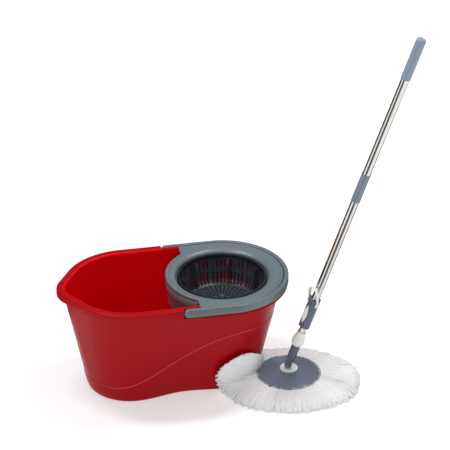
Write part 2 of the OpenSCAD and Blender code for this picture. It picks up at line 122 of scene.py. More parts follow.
class Graph:
    """A material's node tree, with one short call per node."""

    def __init__(self, name):
        self.material = bpy.data.materials.new(name)
        self.material.use_nodes = True
        self.tree = self.material.node_tree
        self.shader = self.tree.nodes["Principled BSDF"]
        self.coords = self.tree.nodes.new("ShaderNodeTexCoord").outputs["Object"]

    def link(self, source, target):
        self.tree.links.new(source, target)

    def noise(self, scale, detail=3.0, roughness=0.5):
        node = self.tree.nodes.new("ShaderNodeTexNoise")
        node.inputs["Scale"].default_value = scale
        node.inputs["Detail"].default_value = detail
        node.inputs["Roughness"].default_value = roughness
        self.link(self.coords, node.inputs["Vector"])
        return node.outputs["Fac"]

    def ramp(self, value, stops):
        node = self.tree.nodes.new("ShaderNodeValToRGB")
        ramp = node.color_ramp
        while len(ramp.elements) < len(stops):
            ramp.elements.new(0.5)
        for element, (place, colour) in zip(ramp.elements, stops):
            element.position = place
            element.color = (*colour, 1)
        self.link(value, node.inputs["Fac"])
        return node.outputs["Color"]

    def span(self, value, low, high):
        node = self.tree.nodes.new("ShaderNodeMapRange")
        node.inputs["To Min"].default_value = low
        node.inputs["To Max"].default_value = high
        self.link(value, node.inputs["Value"])
        return node.outputs["Result"]

    def math(self, operation, a, b):
        node = self.tree.nodes.new("ShaderNodeMath")
        node.operation = operation
        for socket, value in zip(node.inputs, (a, b)):
            if isinstance(value, (int, float)):
                socket.default_value = value
            else:
                self.link(value, socket)
        return node.outputs[0]

    def bump(self, height, strength, distance):
        node = self.tree.nodes.new("ShaderNodeBump")
        node.inputs["Strength"].default_value = strength
        node.inputs["Distance"].default_value = distance
        self.link(height, node.inputs["Height"])
        self.link(node.outputs["Normal"], self.shader.inputs["Normal"])

    def set(self, **values):
        for name, value in values.items():
            self.shader.inputs[name.replace("_", " ")].default_value = value

    def split(self, vector):
        """The X, Y and Z of a vector, as sockets by name."""
        node = self.tree.nodes.new("ShaderNodeSeparateXYZ")
        self.link(vector, node.inputs["Vector"])
        return node.outputs

    def colour(self, source):
        self.link(source, self.shader.inputs["Base Color"])

    def roughness(self, source):
        self.link(source, self.shader.inputs["Roughness"])

    def marks(self, low, high):
        """Roughness between two values, in faint handling marks."""
        self.roughness(self.span(self.noise(38.0, detail=6.0, roughness=0.65), low, high))

    def grain(self, depth, scale=900.0):
        """The fine bump that a spark-eroded mould leaves."""
        self.bump(self.noise(scale, detail=2.0), 0.35, depth)


def scaled(colour, k):
    """A colour k times as light."""
    return tuple(min(1.0, c * k) for c in colour)


def plastic(name, colour, rough, specular=0.5, vary=0.08):
    """Moulded plastic: a fine spark-eroded grain, a slow drift of tone, and faint handling marks."""
    g = Graph(name)
    tone = g.noise(6.0, detail=2.0)
    g.colour(g.ramp(tone, [(0.3, scaled(colour, 1 - vary)), (0.7, scaled(colour, 1 + vary))]))
    g.marks(rough - 0.06, rough + 0.08)
    g.grain(0.03 * MM)
    g.set(Specular_IOR_Level=specular)
    return g.material


def bucket_red(name, outside, inside):
    """Moulded red, with one tone on the walls' outer faces and a brighter one on their inner faces; the brighter
    inner tone is painted light, standing in for the light that bounces between the inner walls.
    """
    g = Graph(name)
    where = g.split(g.coords)
    facing = g.split(g.tree.nodes.new("ShaderNodeTexCoord").outputs["Normal"])
    spine = g.math("MAXIMUM", g.math("MINIMUM", where["X"], BASKET_X), LEFT_X)
    across = g.math("MULTIPLY", g.math("SUBTRACT", where["X"], spine), facing["X"])
    outward = g.math("ADD", across, g.math("MULTIPLY", where["Y"], facing["Y"]))
    side = g.math("ADD", g.math("MULTIPLY", outward, 12.0), 0.55)
    tone = g.math("ADD", side, g.math("MULTIPLY", g.math("SUBTRACT", g.noise(6.0, detail=2.0), 0.5), 0.3))
    # Painted light: the inner faces take the brighter tone, for the light that bounces inside the bucket.
    g.colour(g.ramp(tone, [(0.1, inside), (0.45, outside), (1.0, outside)]))
    g.marks(0.24, 0.38)
    g.grain(0.01 * MM, scale=1100.0)
    g.set(Specular_IOR_Level=0.1)
    return g.material


def basket_grey(name, colour):
    """Dark moulded plastic with painted shade: darkest on the rim that turns in the tray's shade."""
    g = Graph(name)
    # Painted shade: the tone darkens up towards the rim, where the tray shades it.
    rim = scaled(colour, 0.2)
    height = g.math("DIVIDE", g.math("SUBTRACT", g.split(g.coords)["Z"], RIM_Z - 60 * MM), 60 * MM)
    tone = g.math("ADD", height, g.math("MULTIPLY", g.math("SUBTRACT", g.noise(9.0), 0.5), 0.06))
    g.colour(g.ramp(tone, [(0.3, colour), (0.68, scaled(colour, 0.8)), (0.77, rim), (1.0, rim)]))
    g.marks(0.2, 0.32)
    g.grain(0.03 * MM)
    g.set(Specular_IOR_Level=0.4)
    return g.material


def steel(name, colour, rough):
    """Plain zinc-plated steel with a few dull patches."""
    g = Graph(name)
    patches = g.noise(60.0, detail=3.0)
    g.colour(g.ramp(patches, [(0.35, scaled(colour, 0.85)), (0.7, colour)]))
    g.roughness(g.span(patches, rough - 0.05, rough + 0.1))
    g.set(Metallic=1.0)
    return g.material


def tube_frame():
    """Turns the row frame so that Z runs along the handle and X looks to the front, across the handle."""
    front = Vector((0, -1, 0))
    front = (front - TUBE_AXIS * front.dot(TUBE_AXIS)).normalized()
    side = TUBE_AXIS.cross(front)
    return Matrix((front, side, TUBE_AXIS))


def tube_steel(name, colour, rough):
    """Polished drawn tube: fine draw lines run along it, with a slow drift of tone and a few dull patches."""
    g = Graph(name)
    turned = g.tree.nodes.new("ShaderNodeMapping")
    turned.inputs["Rotation"].default_value = tube_frame().to_euler()
    g.link(g.coords, turned.inputs["Vector"])
    stretch = g.tree.nodes.new("ShaderNodeMapping")
    stretch.inputs["Scale"].default_value = (1500.0, 1500.0, 3.0)
    g.link(turned.outputs["Vector"], stretch.inputs["Vector"])
    drawn = g.tree.nodes.new("ShaderNodeTexNoise")
    drawn.inputs["Scale"].default_value = 1.0
    drawn.inputs["Detail"].default_value = 3.0
    g.link(stretch.outputs["Vector"], drawn.inputs["Vector"])
    lines = drawn.outputs["Fac"]
    patches = g.noise(14.0, detail=3.0)
    both = g.math("MULTIPLY", g.math("ADD", lines, patches), 0.5)
    g.colour(g.ramp(both, [(0.35, scaled(colour, 0.86)), (0.65, colour)]))
    g.roughness(g.span(both, rough - 0.06, rough + 0.1))
    g.bump(lines, 0.3, 0.02 * MM)
    g.set(Metallic=1.0)
    return g.material


def yarn_material():
    """Twisted microfibre: a soft off-white with shaded hollows between the twists and a bright fuzz."""
    g = Graph("yarn_white")
    clumps = g.noise(45.0, detail=4.0)
    fuzz = g.noise(1400.0, detail=4.0, roughness=0.7)
    both = g.math("ADD", g.math("MULTIPLY", clumps, 0.7), g.math("MULTIPLY", fuzz, 0.3))
    g.colour(g.ramp(both, [(0.3, (0.78, 0.785, 0.785)), (0.65, (0.83, 0.835, 0.84))]))
    g.roughness(g.span(fuzz, 0.85, 1.0))
    g.bump(g.math("ADD", fuzz, g.noise(420.0, detail=3.0)), 0.8, 0.6 * MM)
    g.set(Sheen_Weight=0.35, Sheen_Roughness=0.5, Specular_IOR_Level=0.15)
    return g.material


MATERIALS = {
    # The red's brighter inner tone is painted light, for the light that bounces inside the bucket.
    "red_plastic": bucket_red("red_moulded", (0.335, 0.001, 0.004), (0.66, 0.0005, 0.004)),
    "grey_plastic": plastic("grey_moulded", (0.118, 0.152, 0.172), rough=0.27, vary=0.04),
    "basket_plastic": basket_grey("basket_moulded", (0.042, 0.050, 0.062)),
    "steel": tube_steel("tube_steel", (0.61, 0.60, 0.565), 0.12),
    "zinc": steel("zinc_steel", (0.6, 0.61, 0.62), 0.3),
    "white_plastic": plastic("white_moulded", (0.74, 0.745, 0.72), rough=0.4, vary=0.04),
    "slate_plastic": plastic("slate_moulded", (0.080, 0.102, 0.146), rough=0.3),
    "grip_plastic": plastic("grip_moulded", (0.205, 0.25, 0.32), rough=0.35),
    "rubber": plastic("brake_rubber", (0.03, 0.03, 0.033), rough=0.7),
    "badge": plastic("badge_blank", (0.72, 0.725, 0.72), rough=0.25, vary=0.03),
    "yarn": yarn_material(),
    # The crease bead's lighter red is a painted highlight along the styling line.
    "red_painted_highlight": plastic("red_painted_highlight", (0.55, 0.06, 0.07), rough=0.25),
    "plate": plastic("plate_moulded", (0.135, 0.165, 0.215), rough=0.24),
    "sleeve": plastic("sleeve_moulded", (0.155, 0.19, 0.245), rough=0.3),
    "grey_polished": plastic("grey_polished", (0.10, 0.115, 0.13), rough=0.14, specular=0.9),
}


def dress(obj, finish):
    """Gives the whole of an object one of the materials above."""
    obj.data.materials.clear()
    obj.data.materials.append(MATERIALS[finish])
    for face in obj.data.polygons:
        face.material_index = 0


def dress_cad_nodes():
    """Every CAD node takes its slot's material, apart from two that differ from the rest of their slot."""
    special = {"joint_sleeve": "sleeve", "collar_rivet": "white_plastic"}
    for row in frame["record"]["subparts"]:
        dress(NODES[row["node"]], special.get(row["node"], row["material_slot"]))


def soften(node, width):
    """Rounds a CAD node's sharp edges for the picture, as moulded or deburred edges are."""
    obj = NODES[node]
    weld = obj.modifiers.new("weld", "WELD")
    weld.merge_threshold = 0.01 * MM
    bevel = obj.modifiers.new("bevel", "BEVEL")
    bevel.width = width
    bevel.segments = 3
    bevel.limit_method = "ANGLE"
    bevel.angle_limit = math.radians(40)
    bevel.harden_normals = True


# ---- Mesh helpers ----

def mesh_piece(name, points, faces, body, slot, replaces=(), finish=None):
    """A smooth mesh that rides on a body; finish is its material, where that isn't its slot's own."""
    mesh = bpy.data.meshes.new(name)
    mesh.from_pydata([tuple(p) for p in points], [], faces)
    mesh.update()
    mesh.validate()
    obj = bpy.data.objects.new(name, mesh)
    bpy.context.scene.collection.objects.link(obj)
    mesh.shade_smooth()
    bm = bmesh.new()
    bm.from_mesh(mesh)
    bmesh.ops.remove_doubles(bm, verts=bm.verts, dist=1e-7)
    bmesh.ops.recalc_face_normals(bm, faces=bm.faces)
    bm.to_mesh(mesh)
    bm.free()
    dress(obj, finish or slot)
    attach(obj, body)
    if replaces:
        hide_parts(*replaces)
    return obj


def loft(rings, closed_ring=True, cap_start=False, cap_end=False, closed_path=False):
    """Faces between equal rings of points. Returns (points, faces)."""
    count = len(rings[0])
    points = [p for ring in rings for p in ring]
    faces = []
    last = len(rings) if closed_path else len(rings) - 1
    for k in range(last):
        a, b = k * count, ((k + 1) % len(rings)) * count
        for i in range(count if closed_ring else count - 1):
            j = (i + 1) % count
            faces.append((a + i, b + i, b + j, a + j))
    if cap_start:
        faces.append(tuple(range(count))[::-1])
    if cap_end:
        faces.append(tuple(range((len(rings) - 1) * count, len(rings) * count)))
    return points, faces


def append(points, faces, more, quads):
    """Adds a second mesh's points and faces to a first one's."""
    base = len(points)
    points += more
    faces += [tuple(base + i for i in quad) for quad in quads]


def arc(centre, radii, start, end, steps):
    """Points on an ellipse's arc in a plane, angles in degrees."""
    out = []
    for i in range(steps + 1):
        a = math.radians(start + (end - start) * i / steps)
        out.append((centre[0] + radii[0] * math.cos(a), centre[1] + radii[1] * math.sin(a)))
    return out


def lerp(a, b, t):
    return a + (b - a) * t


def smoothstep(t):
    t = max(0.0, min(1.0, t))
    return t * t * (3 - 2 * t)


# ---- Bucket shell ----

NOSE_C = NOSE_X + NOSE_R
NOSE_TURN = math.degrees(math.acos((RIM_R - NOSE_R) / (LEFT_X - NOSE_C)))


def base_half(x):
    """Half width of the base: a soft S that narrows to the waist."""
    if x < WAIST[0]:
        t, end = (WAIST[0] - x) / (WAIST[0] - BASE_LEFT[0]), BASE_LEFT[1]
    else:
        t, end = (x - WAIST[0]) / (BASE_RIGHT[0] - WAIST[0]), BASE_RIGHT[1]
    return lerp(WAIST[1], end, (1 - math.cos(math.pi * t)) / 2)


def stations():
    """Places round the bucket as (kind, angle or x, side), anticlockwise from the basket end's front."""
    side = [BASKET_X - t * MM for t in (0, 14, 28, 42, 56, 68)]
    side += [CORNER_X + e * MM for e in (1.2, 0.6, 0.0, -0.6)]
    side += [x * MM for x in (30, 20, 10, 3)]
    side += [STEP_X + e * MM for e in (1.0, 0.5, 0.0, -0.4)]
    side += [x * MM for x in (-7, -13)]
    side += [BRACKET_X + e * MM for e in (1.5, 0.6, 0.0, -0.6)]
    side += [x * MM for x in (-30, -40, -52, -64, -76, -88)] + [LEFT_X]
    found = [("right", a, 0) for a in range(-87, 88, 3)]
    found += [("side", x, 1) for x in side]
    found += [("left", a, 0) for a in range(93, 130, 3)]
    found += [("left", a, 0) for a in np.arange(131, 230, 2.0)]
    found += [("left", a, 0) for a in range(231, 268, 3)]
    found += [("side", x, -1) for x in reversed(side)]
    return found


def unit(degrees):
    """The direction at an angle in the floor's plane."""
    a = math.radians(degrees)
    return Vector((math.cos(a), math.sin(a)))


def top_point(station, d):
    """A station's place on the wall's outline at the rim's height, d outside the wall."""
    kind, value, side = station
    if kind == "right":
        return Vector((BASKET_X, 0)) + unit(value) * (WALL_R + d)
    if kind == "side":
        return Vector((value, side * (WALL_R + d)))
    offset = d - (RIM_R - WALL_R)
    if abs(180 - value) < NOSE_TURN:
        return Vector((NOSE_C, 0)) + unit(value) * (NOSE_R + offset)
    return Vector((LEFT_X, 0)) + unit(value) * (RIM_R + offset)


def base_point(station, d):
    """A station's place on the base's outline, d outside it."""
    kind, value, side = station
    if kind == "right":
        return Vector((BASE_RIGHT[0], 0)) + unit(value) * (BASE_RIGHT[1] + d)
    if kind == "left":
        return Vector((BASE_LEFT[0], 0)) + unit(value) * (BASE_LEFT[1] + d)
    x = lerp(BASE_LEFT[0], BASE_RIGHT[0], (value - LEFT_X) / (BASKET_X - LEFT_X))
    return Vector((x, side * (base_half(x) + d)))


def wall_point(station, z, d):
    """A station's place at a height on the wall, which is straight from the base to the rim's skirt."""
    t = min(1.0, z / SKIRT_Z)
    p = base_point(station, d).lerp(top_point(station, d), t)
    return Vector((p.x, p.y, z))


def crease_z(x):
    """Height of the styling line on the outside wall: low at the nose, high at the basket."""
    return (38 + 132 * smoothstep((x / MM + 170) / 320)) * MM


def crease_depth(point):
    """How far the wall stands out below the line; it fades back to nothing towards the base."""
    below = crease_z(point.x) - point.z
    if below <= -1.5 * MM:
        return 0.0
    edge = smoothstep((below + 1.5 * MM) / (2.5 * MM))
    return 1.1 * MM * edge * (1 - smoothstep(below / (80 * MM)))


def shell_levels(kind):
    """(offset, height) pairs up the outside wall, over the rim and down the inside.

    The rim is a roll on the water side, and a bracket with a deeper skirt where the roll ends. Then comes a
    ledge for the carry handle, with a raised lip, and under the tray the lip is lower.
    """
    m = MM
    foot = [(-d * m, z * m) for d, z in ((9, 0), (5, 0), (3, 0.5), (1.4, 1.7), (0.4, 3.8), (0, 7))]
    wall = [(0.0, z * m) for z in np.linspace(11, 226, 56)]
    if kind == "roll":
        low, top = SKIRT_Z, RIM_Z
    elif kind == "bracket":
        low, top = LEDGE_LOW, RIM_Z
    else:
        low, top = LEDGE_LOW, LEDGE_Z
    under = [(0.0, low - 2 * m), (0.6 * m, low - 0.5 * m), (2 * m, low), (8 * m, low), (14.3 * m, low)]
    under += [(d, z) for d, z in arc((14.8 * m, low + 1.2 * m), (1.2 * m, 1.2 * m), -90, 0, 3)]
    outer_r = 4.5 * m if kind != "ledge" else 1.5 * m
    over = [(16 * m, lerp(low + 2 * m, top - outer_r, t)) for t in (0.3, 0.9)]
    over += arc((16 * m - outer_r, top - outer_r), (outer_r, outer_r), 0, 90, 6)
    if kind == "ledge":
        lip_r = 1.2 * m
        lip_out, lip_top = (4.5 * m, RIM_Z - 0.3 * m)
    elif kind == "tray":
        lip_r = 0.5 * m
        lip_out, lip_top = (0.0, RIM_Z - 6.2 * m)
    else:
        lip_r = 4.0 * m
        lip_out, lip_top = (8 * m, RIM_Z)
    over += [(lip_out + 0.6 * m, top), (lip_out, top + (0.4 * m if top < lip_top else 0))]
    over += [(lip_out, lerp(top, lip_top - lip_r, 0.9) if top < lip_top else top)]
    over += arc((lip_out - lip_r, lip_top - lip_r), (lip_r, lip_r), 0 if top < lip_top else 60, 90, 3)
    over += arc((-WALL + lip_r, lip_top - lip_r), (lip_r, lip_r), 90, 180, 6)
    inner = [(-WALL, z * m) for z in np.linspace(234, 16, 24)]
    inner += [(-WALL - d * m, z * m) for d, z in ((0.4, 10), (1.8, 6.4), (4.2, 4.2), (8, 3.5))]
    return foot + wall + under + over + inner


def bucket_shell():
    """The whole bucket as one closed skin, through every station and level."""
    places = stations()
    tables = {kind: shell_levels(kind) for kind in ("roll", "bracket", "ledge", "tray")}

    def kind_of(station):
        if station[0] == "right":
            return "tray"
        if station[0] == "left" or station[1] < BRACKET_X - 0.1 * MM:
            return "roll"
        if station[1] < STEP_X + 0.2 * MM:
            return "bracket"
        return "tray" if station[1] > CORNER_X + 0.3 * MM else "ledge"

    kinds = [kind_of(s) for s in places]
    rings = []
    for k in range(len(tables["roll"])):
        ring = []
        for station, kind in zip(places, kinds):
            d, z = tables[kind][k]
            p = wall_point(station, z, d)
            if CREASE_SPAN[0] < z < CREASE_SPAN[1] and d == 0.0:
                p = wall_point(station, z, crease_depth(p))
            ring.append(p)
        rings.append(ring)
    points, faces = loft(rings, cap_start=True, cap_end=True)
    mesh_piece("bucket_shell_body", points, faces, "bucket", "red_plastic", ["bucket_shell"])


def wall_half(x, z):
    """Half width of the outside wall at a place along the bucket and a height."""
    t = z / SKIRT_Z
    outline = [base_point(s, 0).lerp(top_point(s, 0), t) for s in stations()]
    outline = sorted((p.x, p.y) for p in outline if p.y >= 0)
    return float(np.interp(x, [p[0] for p in outline], [p[1] for p in outline]))


def crease_bead():
    """The thin raised line along the styling crease on the bucket's outside."""
    halves = [(x, wall_half(x, crease_z(x)) + 0.5 * MM) for x in np.linspace(-196, 190, 160) * MM]
    for side, label in ((-1, "front"), (1, "back")):
        path = [Vector((x, side * half, crease_z(x))) for x, half in halves]
        rings = []
        for i, p in enumerate(path):
            along = (path[min(i + 1, len(path) - 1)] - path[max(i - 1, 0)]).normalized()
            up = (Vector((0, 0, 1)) - along * along.z).normalized()
            outward = along.cross(up)
            r = 0.75 * MM * min(1.0, (i + 1) / 12, (len(path) - i) / 12)
            turns = [math.tau * k / 8 for k in range(8)]
            rings.append([p + up * (math.cos(w) * r) + outward * (math.sin(w) * r) for w in turns])
        points, faces = loft(rings, cap_start=True, cap_end=True)
        # Its lighter red is a painted highlight along the styling line.
        mesh_piece("crease_bead_" + label, points, faces, "bucket", "red_plastic", finish="red_painted_highlight")


# ---- Carry handle ----

def carry_handle():
    """A band with rounded edges, bent round the basket end, with a round end at each pivot."""
    t, h, edge = 10 * MM, 20 * MM, 2.6 * MM
    pivot_x = JOINTS["carry_swing"]["pos_m"][0]
    mid_z = JOINTS["carry_swing"]["pos_m"][2]
    mean_r = RIM_R - t / 2
    path = []
    for dx in (0.02, 0.4, 1.2, 2.4, 4, 6, 8, 10):
        x = pivot_x - 10 * MM + dx * MM
        half = math.sqrt(max(0.0, (h / 2) ** 2 - (pivot_x - x) ** 2))
        path.append((Vector((x, -mean_r)), Vector((0, -1)), half))
    for x in np.linspace(pivot_x + 12 * MM, BASKET_X, 8):
        path.append((Vector((x, -mean_r)), Vector((0, -1)), h / 2))
    arm = path[:]
    for a in np.arange(-87, 88, 3.0):
        path.append((Vector((BASKET_X, 0)) + unit(a) * mean_r, unit(a), h / 2))
    mirror = [(Vector((p.x, -p.y)), Vector((n.x, -n.y)), half) for p, n, half in reversed(arm)]
    rings = []
    for p, n, half in path + mirror:
        r = min(edge, half * 0.9)
        section = []
        for cx, cz, start in ((1, 1, 0), (-1, 1, 90), (-1, -1, 180), (1, -1, 270)):
            for d, z in arc((cx * (t / 2 - r), cz * (half - r)), (r, r), start, start + 90, 4):
                section.append(Vector((p.x + n.x * d, p.y + n.y * d, mid_z + z)))
        rings.append(section)
    points, faces = loft(rings, cap_start=True, cap_end=True)
    mesh_piece("carry_handle_band", points, faces, "carry_handle", "grey_plastic", ["carry_handle"])


# ---- Tray cover ----

def tray_edge(angle):
    """Distance from the basket's axis to the tray's outer edge, at an angle in degrees."""
    across, aside = math.cos(math.radians(angle)), abs(math.sin(math.radians(angle)))
    if across >= 0:
        return TRAY_FLANGE
    reach = TRAY_CORNER / across
    if aside > 1e-6:
        reach = min(reach, TRAY_FLANGE / aside)
    return max(TRAY_R, reach)


def tray_cover():
    """Funnel-shaped cover: outer edge, flat flange, a soft roll into the mouth, and the collar inside it."""
    angles = list(np.arange(0, 360, 1.5))
    specials = [math.degrees(math.atan2(TRAY_FLANGE, TRAY_CORNER)),
                math.degrees(math.acos(TRAY_CORNER / TRAY_R))]
    angles += [a + e for a in specials for e in (-0.25, 0, 0.25)]
    angles += [360 - a + e for a in specials for e in (-0.25, 0, 0.25)]
    angles = sorted(angles)
    rings = []
    roll = arc((MOUTH_R + MOUTH_ROLL, -11 * MM), (MOUTH_ROLL, 9.2 * MM), 90, 180, 12)
    for a in angles:
        u = unit(a)
        edge = tray_edge(a)
        groove = edge - 6 * MM
        profile = [(edge - 3 * MM, -9.5), (edge - 0.8 * MM, -9.5), (edge, -9), (edge, -3.2),
                   (edge - 0.5 * MM, -2), (edge - 1.7 * MM, -1.3), (groove + 1.3 * MM, -1.2),
                   (groove + 0.6 * MM, -1.9), (groove - 0.2 * MM, -1.9), (groove - 0.9 * MM, -1.5)]
        profile = [(r, z * MM) for r, z in profile]
        profile += [(lerp(groove - 2 * MM, MOUTH_R + MOUTH_ROLL, t), lerp(-1.5 * MM, -1.8 * MM, t))
                    for t in (0, 0.5, 1)]
        profile += roll[1:]
        profile += [(MOUTH_R, -14 * MM), (MOUTH_R + 2.4 * MM, -14 * MM), (MOUTH_R + 2.4 * MM, -12 * MM),
                    (MOUTH_R + 8 * MM, -6 * MM), (edge - 4 * MM, -6 * MM)]
        rings.append([Vector((BASKET_X + u.x * r, u.y * r, RIM_Z + z)) for r, z in profile])
    points, faces = loft(rings, closed_path=True)
    mesh_piece("tray_cover_top", points, faces, "wringer_tray", "grey_plastic", ["tray_cover"])


def tray_skirt():
    """The wall over the water side: an upper band, a small step, and a lower band."""
    half_turn = math.degrees(math.acos((CORNER_X - BASKET_X) / TRAY_R))
    profile = [(0.2, -5), (0.2, -27), (0.6, -28.4), (2.2, -29.2), (2.6, -30), (2.9, -60), (3.4, -61.6),
               (4.6, -61.6), (5, -60), (4.9, -30), (3, -26), (2.6, -5)]
    rings = []
    for a in np.linspace(half_turn - 0.5, 360 - half_turn + 0.5, 72):
        u = unit(a)
        rings.append([Vector((BASKET_X + u.x * (TRAY_R - d * MM), u.y * (TRAY_R - d * MM), RIM_Z + z * MM))
                      for d, z in profile])
    points, faces = loft(rings, cap_start=True, cap_end=True)
    mesh_piece("tray_skirt_wall", points, faces, "wringer_tray", "grey_plastic", finish="grey_polished")


# ---- Mop plate ----

def mop_point(angle, r, z):
    """A point at an angle, radius and height about the mop head's upright axis."""
    return MOP + Vector((math.cos(angle) * r, math.sin(angle) * r, z))


def mop_plate():
    """Shallow cone with a rounded shoulder and a row of teeth under its edge."""
    m = MM
    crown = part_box("mop_plate")[1].z
    slope = [(r * m, crown - 11.4 * m * ((r - 24) / 48) ** 1.12) for r in np.linspace(25, 71.6, 14)]
    outside = [(0.01 * m, crown), (23 * m, crown), (24 * m, crown - 0.1 * m)] + slope
    outside += [(72.1 * m, crown - 12.3 * m), (72.6 * m, crown - 11.9 * m), (73.2 * m, crown - 11.1 * m),
                (74.0 * m, crown - 11.0 * m), (74.7 * m, crown - 11.7 * m), (75 * m, crown - 13.0 * m),
                (75 * m, crown - 15.2 * m)]
    teeth = len(outside)
    outside += [(74.9 * m, crown - 16.8 * m), (74.4 * m, crown - 17.3 * m), (72.6 * m, crown - 17.2 * m)]
    outside += [(72 * m, crown - 16 * m), (58 * m, crown - 12.5 * m), (22 * m, crown - 4 * m),
                (0.01 * m, crown - 4 * m)]
    rings = []
    for a in (math.tau * i / 528 for i in range(528)):
        tooth = 2.2 * m * max(-0.6, min(0.6, math.cos(44 * a) * 1.6)) / 0.6
        rings.append([mop_point(a, r, z - tooth if teeth <= k < teeth + 3 else z)
                      for k, (r, z) in enumerate(outside)])
    points, faces = loft(rings, closed_ring=False, closed_path=True)
    mesh_piece("mop_plate_cone", points, faces, "mop_plate", "slate_plastic", ["mop_plate"], finish="plate")


# ---- Yarn ----

STRAND_R = 3.0 * MM
WALL_SLOPE = 0.205                # how far the bucket's right end leans out, for each unit of height
PARTING = math.radians(120)       # strands that point further round than this lie on the wall's front
PARTING_END = 1.6 * math.pi
PUSH = Vector((-0.2, -1.0, 0.57))  # the way that the wall turns those strands: to the front and up


def spread(angle):
    """How far the yarn lies out from the middle of the mop head: a little further to the two sides."""
    turned = angle + 0.2
    return (151 + 16 * math.cos(2 * turned) + 6 * math.sin(turned) + 1.5 * math.sin(3 * angle + 1)
            + 1.4 * math.sin(7 * angle)) * MM


def wall_gap(p, clear):
    """How far a point is outside the bucket's lower wall (below 0 is inside it)."""
    dx = max(0.0, p.x - BASE_RIGHT[0])
    return math.hypot(dx, p.y) - (BASE_RIGHT[1] + clear + WALL_SLOPE * p.z)


def settle(p, bearing, clear, level=0.0):
    """Where a point of a strand ends up: the bucket's wall turns it to the front and up, or to the back."""
    gap = wall_gap(p, clear)
    out = (Vector((p.x, p.y)) - MOP.xy).length
    bank = smoothstep(1 - gap / (30 * MM)) * smoothstep((out - 77 * MM) / (14 * MM))
    p = p + Vector((0, 0, 11 * MM * level * bank))
    if gap >= 0:
        return p
    if PARTING < bearing < PARTING_END:
        low, high = max(0.0, p.y), 0.3
        swollen = clear + 8 * MM * level * smoothstep(-gap / (16 * MM))
        for _ in range(24):
            middle = (low + high) / 2
            if wall_gap(p + PUSH * middle, swollen) < 0:
                low = middle
            else:
                high = middle
        return p + PUSH * high
    z = p.z + 34 * MM * (1 - math.exp(gap / (30 * MM)))
    away = (Vector((p.x, p.y)) - Vector((BASE_RIGHT[0], 0))).normalized()
    away *= BASE_RIGHT[1] + clear + WALL_SLOPE * z
    return Vector((BASE_RIGHT[0] + away.x, away.y, z))


def pile_height(t):
    """Height of the pile's top, from the plate's edge (t = 0) to the strands' ends (t = 1)."""
    height = (13 + 17 * (1 - t) ** 1.3 + 3.5 * math.sin(math.pi * t)) * MM
    return height * (1 - 0.45 * smoothstep((t - 0.86) / 0.14))


def strand_path(angle, start_r, level, reach, steps, rng):
    """One strand, from under the plate out to its end; level is its share of the pile's height."""
    curl = rng.uniform(-0.10, 0.10)
    wave = rng.uniform(0, math.tau)
    bearing = angle % math.tau
    path = []
    for i in range(steps + 1):
        t = i / steps
        a = angle + curl * t * t + 0.012 * math.sin(wave + 5 * t)
        r = lerp(start_r, reach, t)
        top = pile_height(t) - STRAND_R * 0.9
        z = max(STRAND_R * 1.05, top * level + 0.8 * MM * math.sin(wave * 3 + 9 * t))
        path.append(settle(mop_point(a, r, z), bearing, STRAND_R + 2 * MM, level))
    return path


def strand_rings(path, radius, sides, rng):
    """Rings round a strand's path; it swells and thins a little, and its end is drawn in."""
    phase = rng.uniform(0, math.tau)
    rings = []
    for i, p in enumerate(path):
        a = path[max(0, i - 1)]
        b = path[min(len(path) - 1, i + 1)]
        along = (b - a).normalized()
        side = along.cross(Vector((0, 0, 1))).normalized()
        up = side.cross(along)
        t = i / (len(path) - 1)
        swell = 1 + 0.08 * math.sin(phase + i * 1.7)
        r = radius * swell * (0.5 if i == len(path) - 1 else 0.85 if i == len(path) - 2 else 1.0)
        r *= lerp(0.8, 1.12, t)
        ring = []
        for k in range(sides):
            w = math.tau * k / sides
            ring.append(p + side * (math.cos(w) * r) + up * (math.sin(w) * r * 0.85))
        rings.append(ring)
    return rings


def bed_reach(a, edge):
    """The bed stops at the wall near the parting, and reaches further along it to both sides."""
    off = abs(a - PARTING)
    if off > math.radians(17):
        return edge
    touch = 60 * MM
    while touch < edge and wall_gap(mop_point(a, touch, 20 * MM), 3 * MM) > 0:
        touch += MM
    return lerp(touch, edge, smoothstep((off - math.radians(2)) / math.radians(15)))


def yarn_bed(rng):
    """The body of the pile under the top strands, so that no gap opens between them."""
    around = 360
    phases = [rng.uniform(0, math.tau) for _ in range(4)]
    rings = []
    for i in range(around):
        a = math.tau * i / around
        edge = spread(a) - (5 + 1.5 * math.sin(31 * a + phases[0]) + 1.2 * math.sin(53 * a + phases[1])) * MM
        edge = bed_reach(a, edge)
        start = 58 * MM
        ring = []
        for t in (0, 0.1, 0.2, 0.3, 0.4, 0.5, 0.6, 0.7, 0.8, 0.88, 0.94, 0.98, 1.0):
            r = lerp(start, edge, t)
            z = pile_height(t) - 1.6 * MM + 0.5 * MM * math.sin(40 * a + 9 * t + phases[2])
            z = min(z, 25 * MM) if r < 76 * MM else z
            ring.append(settle(mop_point(a, r, z), a, 3 * MM, 0.8))
        ring.append(settle(mop_point(a, edge * 1.005, 4 * MM), a, 2 * MM))
        for t in (0.99, 0.5, 0.0):
            r = lerp(start, edge, t)
            ring.append(settle(mop_point(a, r, 1.2 * MM), a, 1.5 * MM))
        rings.append(ring)
    return loft(rings, closed_path=True)


